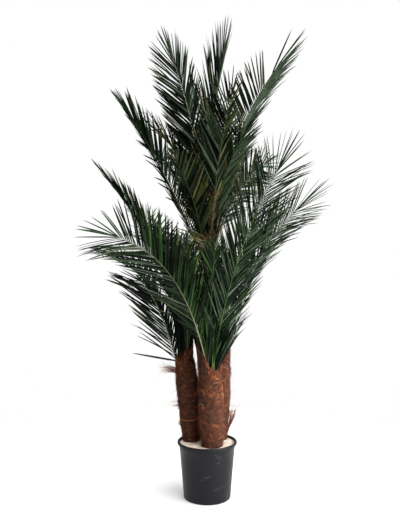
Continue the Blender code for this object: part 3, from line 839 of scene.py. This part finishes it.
def add_wisp(heap, name, chance, bearing, height, slant, length, tone):
    """A few fibres side by side that curl across the trunk together."""
    trunk = TRUNKS[name]
    curl = chance.uniform(-WISP_CURL, WISP_CURL)
    count = chance.randint(*WISP_FIBRES)
    proud = chance.uniform(*WISP_PROUD)
    for fibre in range(count):
        turn = bearing + fibre * chance.uniform(1.0, 2.2)
        rise = height + chance.uniform(-0.008, 0.008)
        lean = slant + chance.uniform(-6, 6)
        path = []
        for step in range(WISP_POINTS):
            share = step / (WISP_POINTS - 1)
            rim = rim_height(name, turn) - RIM_GAP
            rise = max(TRUNK_BOTTOM + 0.001, min(rise, rim))
            path.append(on_trunk(trunk, turn, rise, proud * math.sin(math.pi * share) + STRAND_LIFT))
            lean += curl + chance.uniform(-4, 4)
            radius = radius_at(trunk, share_of(trunk, rise))
            turn += math.degrees(math.cos(math.radians(lean)) * length / WISP_POINTS / radius)
            rise += math.sin(math.radians(lean)) * length / WISP_POINTS
        thick = chance.uniform(*WISP_THICKS)
        swells = [math.sin(math.pi * (i + 0.5) / WISP_POINTS) for i in range(WISP_POINTS)]
        sizes = [thick * (0.35 + 0.65 * swell) for swell in swells]
        heap.add(*tube(path, sizes, sizes, [heading(turn)] * WISP_POINTS, 3), tone)


def add_hair(heap, chance, start, way, length, thick, tone, droop=0.25):
    """A fibre that has come loose: it leaves the trunk and bends over under its own weight."""
    curl = Vector([chance.uniform(-1, 1) for _ in range(3)]) * HAIR_CURL
    path = []
    for step in range(HAIR_POINTS):
        share = step / (HAIR_POINTS - 1)
        bend = (curl * 0.5 - UP * droop) * share * share
        path.append(start + (way * share + bend) * length)
    aside = [way.cross(UP + curl * 0.1) for _ in path]
    sizes = [thick * (1.0 - HAIR_TAPER * i / HAIR_POINTS) for i in range(HAIR_POINTS)]
    heap.add(*tube(path, sizes, sizes, aside, 3), tone)


def cover_with_strands(name, seed):
    """The woven coat: wisps lying on the trunk, and hairs that stand off it."""
    trunk = TRUNKS[name]
    chance = random.Random(seed)
    heap = Heap(FIBRE_TONES)
    tall = trunk.top[2] - TRUNK_BOTTOM
    for _ in range(round(tall * WISPS_PER_METRE)):
        bearing = chance.uniform(-180, 180)
        height = TRUNK_BOTTOM + tall * chance.random() * WISP_REACH
        if height > rim_height(name, bearing):
            continue
        slant = chance.choice(WISP_SLANTS) + chance.triangular(-WISP_STRAY, WISP_STRAY, 0)
        length = chance.uniform(*WISP_LENGTHS)
        tone = pick(chance, WISP_TONES)
        add_wisp(heap, name, chance, bearing, height, slant, length, tone)
    for _ in range(round(tall * HAIRS_PER_METRE)):
        bearing = chance.uniform(-180, 180)
        height = TRUNK_BOTTOM + tall * chance.uniform(0.02, 1.0)
        start = on_trunk(trunk, bearing, height, -HAIR_ROOT)
        if start.z > rim_height(name, bearing):
            continue
        aside = chance.uniform(-HAIR_STRAY, HAIR_STRAY)
        way = heading(bearing + aside) + UP * chance.uniform(*HAIR_RISES)
        length = chance.triangular(*HAIR_LENGTHS)
        tone = pick(chance, HAIR_TONES)
        add_hair(heap, chance, start, way.normalized(), length, HAIR_THICK, tone)
    heap.piece("fibre_" + name, "trunk", ["trunk_" + name])


def make_sheath(name, seed):
    """The torn sleeve of leaf sheath that stands round the feet of the ribs."""
    trunk = TRUNKS[name]
    chance = random.Random(seed)
    heap = Heap(FIBRE_TONES)
    flare_from, flare_share = SHEATH_FLARE
    points = []
    for side in range(SHEATH_SIDES):
        bearing = -180 + 360 * side / SHEATH_SIDES
        out = heading(bearing)
        rim = rim_height(name, bearing) + chance.uniform(*SHEATH_TEAR)
        low = cut_height(trunk, Vector(trunk.top) + out * between(trunk.radii, 1.0)) - SHEATH_DEPTH
        loop = []
        for row in range(SHEATH_ROWS):
            share = row / (SHEATH_ROWS - 1)
            height = low + (rim - low) * row / (SHEATH_ROWS - 1)
            crease = noise.noise(out * 4.0 + UP * height * 12) * SHEATH_CREASE
            flare = max(0.0, rim - low - flare_from) * flare_share * share**2
            loop.append(on_trunk(trunk, bearing, height, crease + flare + SHEATH_LIFT))
        points.extend(loop + [point - out * SHEATH_SKIN for point in reversed(loop)])
    count = 2 * SHEATH_ROWS
    faces = []
    for side in range(SHEATH_SIDES):
        here, after = side * count, (side + 1) % SHEATH_SIDES * count
        for row in range(count):
            above = (row + 1) % count
            faces.append((here + row, after + row, after + above, here + above))
    heap.add(points, faces, "core")
    for _ in range(FRAYS):
        bearing = chance.uniform(-180, 180)
        height = rim_height(name, bearing) - chance.uniform(*FRAY_DEPTHS)
        start = on_trunk(trunk, bearing, height, 0.0005)
        sideways = heading(bearing + 90) * chance.uniform(-FRAY_STRAY, FRAY_STRAY)
        way = UP + heading(bearing) * chance.uniform(*FRAY_LEANS) + sideways
        tone = pick(chance, FRAY_TONES)
        length = chance.triangular(*FRAY_LENGTHS)
        add_hair(heap, chance, start, way.normalized(), length, FRAY_THICK, tone, droop=-0.02)
    heap.piece("sheath_" + name, "trunk", ["trunk_" + name])


# Tufts that have pulled out of the wrap, and two small pale ones on the front trunk that are painted
# highlights on folds of the fibre: trunk, bearing, height, how many hairs, their length, which way they
# point (out along the bearing, round to the left, up), how wide they fan out, their droop, thickness and
# tones.
Tuft = namedtuple("Tuft", "trunk bearing height count length way fan droop thick tones")
TUFT_WIDTH = 10  # degrees that a tuft reaches each way round the trunk
TUFT_HEIGHT = 0.012  # and up and down it
TUFTS_AND_PAINTED_HIGHLIGHTS = (
    Tuft("left", 197, 0.570, 50, 0.085, (1.0, 0.0, 0.42), 0.26, 0.16, 0.0015, ("core", "brown", "russet")),
    Tuft("left", 190, 0.574, 22, 0.095, (1.0, 0.1, 0.26), 0.34, 0.18, 0.0010, ("russet", "pale")),
    Tuft("left", 186, 0.425, 4, 0.090, (1.0, 0.0, 0.70), 0.05, 0.95, 0.0013, ("pale",)),
    Tuft("left", 186, 0.400, 24, 0.040, (1.0, 0.0, 0.35), 0.55, 0.10, 0.0010, ("pale", "russet")),
    Tuft("left", 190, 0.330, 26, 0.028, (0.7, 0.0, -0.2), 0.60, 0.10, 0.0012, ("pale",)),
    Tuft("tall", -12, 0.292, 70, 0.115, (0.38, 0.0, 1.0), 0.08, -0.06, 0.0020, ("brown", "russet")),
    Tuft("tall", -10, 0.360, 40, 0.060, (0.8, 0.0, 0.75), 0.60, 0.05, 0.0010, ("pale", "ginger")),
    # These two short pale tufts are painted highlights on folds of the fibre.
    Tuft("front", -115, 0.619, 9, 0.020, (0.35, 1.0, -0.3), 0.15, 0.0, 0.0017, ("pale",)),
    Tuft("front", -68, 0.541, 6, 0.026, (0.25, 1.0, 0.2), 0.10, 0.0, 0.0017, ("pale",)),
    Tuft("tall", 35, 0.760, 6, 0.045, (1.0, 0.0, 0.3), 0.30, 0.4, 0.0012, ("brown",)),
)
# One thick fibre lies slack across the left trunk: from bearing, to bearing, height, sag and thickness.
SLACK_FIBRE = (-165, -40, 0.354, 0.006, 0.0018)


def make_tufts():
    """The tufts and the slack fibre, which stand off the coat of the trunks. Two small pale tufts are
    painted highlights.
    """
    chance = random.Random(77)
    heap = Heap(FIBRE_TONES)
    for tuft in TUFTS_AND_PAINTED_HIGHLIGHTS:
        trunk = TRUNKS[tuft.trunk]
        out, left = heading(tuft.bearing), heading(tuft.bearing + 90)
        base = (out * tuft.way[0] + left * tuft.way[1] + UP * tuft.way[2]).normalized()
        for _ in range(tuft.count):
            bearing = tuft.bearing + chance.uniform(-TUFT_WIDTH, TUFT_WIDTH)
            height = tuft.height + chance.uniform(-TUFT_HEIGHT, TUFT_HEIGHT)
            start = on_trunk(trunk, bearing, height, -HAIR_ROOT)
            stray = Vector([chance.gauss(0, tuft.fan / 2) for _ in range(3)])
            length = tuft.length * chance.uniform(0.45, 1.0)
            tone = chance.choice(tuft.tones)
            way = (base + stray).normalized()
            add_hair(heap, chance, start, way, length, tuft.thick, tone, tuft.droop)
    first, last, height, sag, thick = SLACK_FIBRE
    path = []
    for share in (i / 16 for i in range(17)):
        bearing = first + (last - first) * share
        path.append(on_trunk(TRUNKS["left"], bearing, height - sag * 4 * share * (1 - share), 0.002))
    sizes = [thick] * len(path)
    heap.add(*tube(path, sizes, sizes, [UP] * len(path), 5), "ginger")
    heap.piece("fibre_tufts", "trunk", ["trunk_left", "trunk_tall"])


# ---- Fronds ---------------------------------------------------------------------------------------
Station = namedtuple("Station", "point along across face")


def frond_seat(frond):
    """Where a frond's rib leaves the slanting top of its trunk."""
    trunk = TRUNKS[frond.trunk]
    share, bearing = frond.seat
    seat = Vector(trunk.top) + heading(bearing) * share * between(trunk.radii, 1.0)
    seat.z = cut_height(trunk, seat)
    return seat


def rib_station(frond, t):
    """Where the rib is at a share of its curve, and which way it, its blade and its face look."""
    out = heading(frond.lean)
    side = UP.cross(out)
    foot = frond_seat(frond)
    elbow = foot + out * frond.elbow[0] + UP * frond.elbow[1]
    tip = foot + out * frond.reach + UP * frond.rise
    roll = math.radians(frond.roll)
    point = foot * (1 - t) ** 2 + elbow * (2 * t * (1 - t)) + tip * t**2
    along = ((elbow - foot) * (1 - t) + (tip - elbow) * t).normalized()
    inward = along.cross(side).normalized()
    across = side * math.cos(roll) + inward * math.sin(roll)
    face = inward * math.cos(roll) - side * math.sin(roll)
    return Station(point, along, across, face)


def rib_length(frond):
    points = [rib_station(frond, i / 20).point for i in range(21)]
    return sum((b - a).length for a, b in zip(points, points[1:]))


def rib_shape(frond):
    shares = [i / (RIB_ROWS - 1) for i in range(RIB_ROWS)]
    stations = [rib_station(frond, t) for t in shares]
    path = [station.point for station in stations]
    path[0] = path[0] - stations[0].along * RIB_SOCKET
    widths = [between(RIB_WIDTH, t) for t in shares]
    thicks = [between(RIB_THICK, t) for t in shares]
    return tube(path, widths, thicks, [station.across for station in stations], RIB_SIDES)


def add_spines(heap, frond, seed):
    """The stiff dry spines that the lowest leaflets of a date palm's frond turn into."""
    chance = random.Random(seed)
    for step in range(round(frond.spiny * SPINES)):
        t = FIRST_SPINE + SPINE_SPACING * step
        station = rib_station(frond, t)
        for hand in (-1, 1):
            way = station.along + station.across * hand * SPINE_SPREAD
            way += station.face * chance.uniform(*SPINE_LIFTS)
            way = way.normalized() * chance.uniform(*SPINE_LENGTHS)
            root = station.point + station.across * hand * between(RIB_WIDTH, t) * 0.4
            path = [root, root + way * 0.5, root + way]
            tone = "spine" if chance.random() < PALE_SPINES else "brown_spine"
            heap.add(*tube(path, SPINE_THICKS, SPINE_THICKS, [station.face] * 3, 4), tone)


def add_blade(heap, tone, root, way, length, wide, fold, sag=None, width=LEAFLET_WIDTH, ends=()):
    """A pointed leaflet, folded along its middle into a shallow V, four corners to a section."""
    sag = sag or Vector()
    points = []
    across = []
    for share, half, deep in BLADE:
        middle = root + way * (length * share) + sag * share * share
        spread = wide * (width / 2 * half)
        rise = fold * (width / 2 * deep)
        points.extend((middle - spread + rise, middle, middle + spread + rise, middle - fold * BLADE_KEEL))
        across.extend((-half, 0.0, half, 0.0))
    points.append(root + way * length + sag)
    across.append(0.0)
    faces = [(0, 1, 2, 3)]
    rows = len(BLADE)
    for row in range(rows - 1):
        low, high = 4 * row, 4 * row + 4
        for side in range(4):
            after = (side + 1) % 4
            faces.append((low + after, low + side, high + side, high + after))
    low = 4 * (rows - 1)
    for side in range(4):
        faces.append((low + (side + 1) % 4, low + side, low + 4))
    heap.add(points, faces, tone, across, ends)


def leaflet_way(frond, station, share, hand, turn, tilt):
    """The way a leaflet points: spread off the rib, and lifted off the flat of the frond."""
    angles = ((0.0, frond.foot), (frond.open_at, 1.0), (0.8, 1.0), (0.93, frond.fan), (1.0, LAST_ANGLE))
    angle = math.radians(frond.spreads[hand > 0] * between(angles, share) + turn)
    lift = math.radians(between(LEAFLET_LIFT, share) + tilt)
    outward = station.across * hand * math.cos(lift) + station.face * math.sin(lift)
    return station.along * math.cos(angle) + outward * math.sin(angle)


def inside_sheath(name, point):
    """Whether a point is down inside the sheath, where no leaflet grows."""
    away = point - trunk_middle(TRUNKS[name], 1.0)
    return point.z < rim_height(name, math.degrees(math.atan2(away.y, away.x))) - 0.01


def add_leaflet(heap, frond, station, t, share, hand, chance, limbs):
    """One leaflet, turned or shortened where it would run into a trunk or another rib."""
    lengths = (*LEAFLET_LENGTH, (0.85, min(0.9, 0.5 + frond.tip / 2)), (1.0, frond.tip))
    length = frond.leaves[hand > 0] * between(lengths, share)
    length *= chance.uniform(*LEAFLET_LENGTHS)
    stray_turn, stray_tilt, stray_twist = LEAFLET_STRAY
    turn, tilt = chance.gauss(0, stray_turn), chance.gauss(0, stray_tilt)
    root = station.point + station.across * hand * between(RIB_WIDTH, t) * ROOT_SIDE
    if inside_sheath(frond.trunk, root):
        return
    for swerve in SWERVES:
        way = leaflet_way(frond, station, share, hand, turn, tilt + swerve)
        hit = limbs.ray_cast(root + way * LOOK_FROM, way, length)
        room = length if hit[0] is None else hit[3] + (LOOK_FROM - LIMB_GAP)
        if room >= length:
            break
    if room < SHORTEST * length:
        return
    length = min(length, room)
    wide = (station.along - way * station.along.dot(way)).normalized()
    twist = math.radians(chance.gauss(0, stray_twist))
    normal = way.cross(wide) * hand
    wide = wide * math.cos(twist) + normal * math.sin(twist)
    fold = way.cross(wide) * hand
    if fold.dot(station.face) < 0:
        fold = -fold
        wide = -wide
    level = math.sqrt(max(0.0, 1.0 - way.z * way.z))
    sag = -UP * (length * chance.uniform(*LEAFLET_SAGS) * level)
    width = frond.wide * LEAFLET_WIDTH * chance.uniform(*LEAFLET_BREADTHS) * between(LEAFLET_WIDTHS, share)
    tone = pick(chance, DYES_AND_PAINTED_LIGHT[frond.dyes[hand > 0]])
    ends = ["olive"] * 4 + ["straw"] * 4 if chance.random() < DRY_TIPPED else ()
    add_blade(heap, tone, root, way, length, wide, fold, sag, width, ends)


def leaf_out(frond, seed, heap, limbs):
    """All the leaflets of a frond, and the one that ends its rib."""
    chance = random.Random(seed)
    for hand in (-1, 1):
        steps = round(rib_length(frond) / LEAFLET_SPACING * frond.packed[hand > 0])
        bare = frond.bare[hand > 0]
        for step in range(steps):
            t = ((step + STAGGER[hand > 0]) / steps) ** CROWDING
            if bare <= t <= frond.ends[hand > 0]:
                share = (t - bare) / (1.0 - bare)
                add_leaflet(heap, frond, rib_station(frond, t), t, share, hand, chance, limbs)
    end = rib_station(frond, 1.0)
    root = end.point - end.along * END_SOCKET
    length = frond.leaves[1] * frond.tip
    width = LEAFLET_WIDTH * END_BREADTH
    add_blade(heap, "green", root, end.along, length, end.across, end.face, width=width)


def add_heart(heap, heart):
    """The young blades of a heart, bowing out a little at their tips."""
    trunk = TRUNKS[heart.trunk]
    chance = random.Random(900 + heart.count)
    for _ in range(heart.count):
        bearing = chance.uniform(heart.first, heart.last)
        out = heading(bearing)
        root = Vector(trunk.top) + out * between(trunk.radii, 1.0) * chance.uniform(*HEART_ROOTS)
        root.z = cut_height(trunk, root) - HEART_SINK
        aside = heading(bearing + 90)
        way = UP + out * chance.uniform(*heart.lean) + aside * chance.uniform(-HEART_STRAY, HEART_STRAY)
        way = way.normalized()
        length = chance.uniform(heart.shortest, heart.longest)
        wide = way.cross(heading(bearing + chance.uniform(-HEART_TURN, HEART_TURN))).normalized()
        tone = pick(chance, DYES_AND_PAINTED_LIGHT[heart.dye])
        width = LEAFLET_WIDTH * HEART_BREADTH
        add_blade(heap, tone, root, way, length, wide, wide.cross(way), out * HEART_BOW, width)


def add_broken_blades(heap, broken):
    """Dry blades that hang over from under the rim of a sheath."""
    trunk = TRUNKS[broken.trunk]
    chance = random.Random(950 + broken.count)
    for _ in range(broken.count):
        bearing = chance.uniform(broken.first, broken.last)
        out, left = heading(bearing), heading(bearing + 90)
        height = rim_height(broken.trunk, bearing) - chance.uniform(0.004, broken.below)
        root = on_trunk(trunk, bearing, height, 0.001)
        stray = Vector([chance.gauss(0, broken.fan / 2) for _ in range(3)])
        way = (out * broken.way[0] + left * broken.way[1] + UP * broken.way[2] + stray).normalized()
        length = chance.uniform(broken.shortest, broken.longest)
        wide = way.cross(out).normalized()
        tone = pick(chance, DYES_AND_PAINTED_LIGHT["dry"])
        sag = -UP * (length * chance.uniform(*BROKEN_SAGS))
        add_blade(heap, tone, root, way, length, wide, wide.cross(way), sag, LEAFLET_WIDTH * BROKEN_BREADTH)


def add_lone_leaflet(heap):
    """The leaflet that stands out level from the left trunk."""
    bearing, height, (outward, rise), length = LONE_LEAFLET
    root = on_trunk(TRUNKS["left"], bearing, height, -0.002)
    way = (heading(bearing) * outward + UP * rise).normalized()
    fold = heading(bearing + 90)
    add_blade(heap, "dark", root, way, length, way.cross(fold).normalized(), fold)


def add_stray_leaflets(heap):
    """Leaflets that stand apart from their own frond's left side."""
    for number, t, angle, length in STRAY_LEAFLETS:
        station = rib_station(FRONDS[number], t)
        angle = math.radians(angle)
        way = station.along * math.cos(angle) - station.across * math.sin(angle)
        wide = station.along * math.sin(angle) + station.across * math.cos(angle)
        add_blade(heap, "dark", station.point, way, length, wide, station.face)


def frond_names():
    """The nodes of the fronds, numbered on each trunk."""
    counts = {}
    for frond in FRONDS:
        counts[frond.trunk] = counts.get(frond.trunk, 0) + 1
        yield "frond_%s_%02d" % (frond.trunk, counts[frond.trunk])


def make_fronds(cores):
    """Ribs first, because the leaflets keep clear of them and of the trunks."""
    limbs = Heap({"limb": None})
    ribs = {name: Heap(RIB_TONES) for name in TRUNKS}
    leaves = {name: Heap(LEAF_TONES) for name in TRUNKS}
    nodes = {name: [] for name in TRUNKS}
    for core in cores:
        corners = [vert.co.copy() for vert in core.data.vertices]
        limbs.add(corners, [polygon.vertices for polygon in core.data.polygons], "limb")
    for name, frond in zip(frond_names(), FRONDS):
        points, faces = rib_shape(frond)
        limbs.add(points, faces, "limb")
        ribs[frond.trunk].add(points, faces, frond.rib)
        if frond.trunk == "tall":
            add_spines(ribs["tall"], frond, 500 + len(nodes["tall"]))
        nodes[frond.trunk].append(name)
    tree = BVHTree.FromPolygons(limbs.points, limbs.faces)
    for number, frond in enumerate(FRONDS):
        leaf_out(frond, 1000 + number, leaves[frond.trunk], tree)
    add_lone_leaflet(leaves["left"])
    add_stray_leaflets(leaves["tall"])
    for heart in HEARTS:
        add_heart(leaves[heart.trunk], heart)
    for broken in BROKEN_BLADES:
        add_broken_blades(leaves[broken.trunk], broken)
    for name in TRUNKS:
        ribs[name].piece("ribs_" + name, "frond", nodes[name])
        leaves[name].piece("leaflets_" + name, "frond", nodes[name])


# ---- Stage ----------------------------------------------------------------------------------------
# Broad soft lamps: where they shine from, how soft they are in degrees, and their strength.
SOFTBOXES = {
    "side_softbox": ((2.4, -1.6, 1.9), 80, 3.6),
    "overhead_softbox": ((0.7, 0.2, 3.0), 130, 3.0),
}
# A narrow soft lamp low on the right lights the trunks: place, aim, cone in degrees, size and watts.
LOW_SOFTBOX = ((2.0, -1.35, 0.6), (0.035, 0.0, 0.47), 17, 0.25, 620.0)
ROOM_LIGHT = 0.06  # the light that the white backdrop gives, beside what it shows

CAMERA_PLACE = (-0.0325, -2.686, 1.0564)  # level, looking along +Y
CAMERA_LENS = 39.73
CAMERA_SENSOR = 36.0


def make_stage():
    bpy.ops.mesh.primitive_circle_add(
        vertices=96, radius=FLOOR_RADIUS, fill_type="NGON", location=(0.0, 0.0, -FLOOR_DROP)
    )
    floor = bpy.context.object
    floor.name = floor.data.name = "floor"
    bpy.ops.object.transform_apply(location=True, rotation=True, scale=True)
    material, _, shader, _ = start_material("pale_studio_floor", 0.9, 0.1)
    shader.inputs["Base Color"].default_value = linear("#FCFCFC")
    floor.data.materials.append(material)


def make_backdrop():
    """A backdrop that looks white and gives only a little light."""
    world = bpy.data.worlds.new("white_studio")
    world.use_nodes = True
    tree = world.node_tree
    shown = tree.nodes["Background"]
    shown.inputs["Color"].default_value = linear("#FFFFFF")
    room = add_node(tree, "Background", {"Color": linear("#FFFFFF"), "Strength": ROOM_LIGHT})
    seen = add_node(tree, "LightPath").outputs["Is Camera Ray"]
    both = {0: seen, 1: room.outputs["Background"], 2: shown.outputs["Background"]}
    mix = add_node(tree, "MixShader", both)
    tree.links.new(mix.outputs["Shader"], tree.nodes["World Output"].inputs["Surface"])
    bpy.context.scene.world = world


def hang(name, data, place, aim=None):
    """Put a lamp or the camera in its place, looking at its aim."""
    holder = bpy.data.objects.new(name, data)
    holder.location = place
    if aim is None:
        holder.rotation_euler = (math.pi / 2, 0.0, 0.0)
    else:
        holder.rotation_euler = (Vector(aim) - Vector(place)).to_track_quat("-Z", "Y").to_euler()
    bpy.context.scene.collection.objects.link(holder)
    return holder


def make_lights():
    for name, (place, softness, strength) in SOFTBOXES.items():
        lamp = bpy.data.lights.new(name, "SUN")
        lamp.angle = math.radians(softness)
        lamp.energy = strength
        hang(name, lamp, place, (0.0, 0.0, 0.0))
    place, aim, cone, size, watts = LOW_SOFTBOX
    low = bpy.data.lights.new("low_softbox", "SPOT")
    low.energy = watts
    low.spot_size = math.radians(cone)
    low.spot_blend = 1.0
    low.shadow_soft_size = size
    hang("low_softbox", low, place, aim)


def make_camera():
    camera = bpy.data.cameras.new("camera")
    camera.lens = CAMERA_LENS
    camera.sensor_width = CAMERA_SENSOR
    camera.sensor_fit = "AUTO"
    bpy.context.scene.camera = hang("camera", camera, CAMERA_PLACE)
    bpy.context.scene.view_settings.view_transform = "Standard"


make_pot()
make_fill()
make_crumbs()
CORES = [make_core(name, trunk) for name, trunk in TRUNKS.items()]
for number, name in enumerate(TRUNKS):
    cover_with_strands(name, 40 + number)
    make_sheath(name, 60 + number)
make_tufts()
make_fronds(CORES)
make_stage()
make_backdrop()
make_lights()
make_camera()
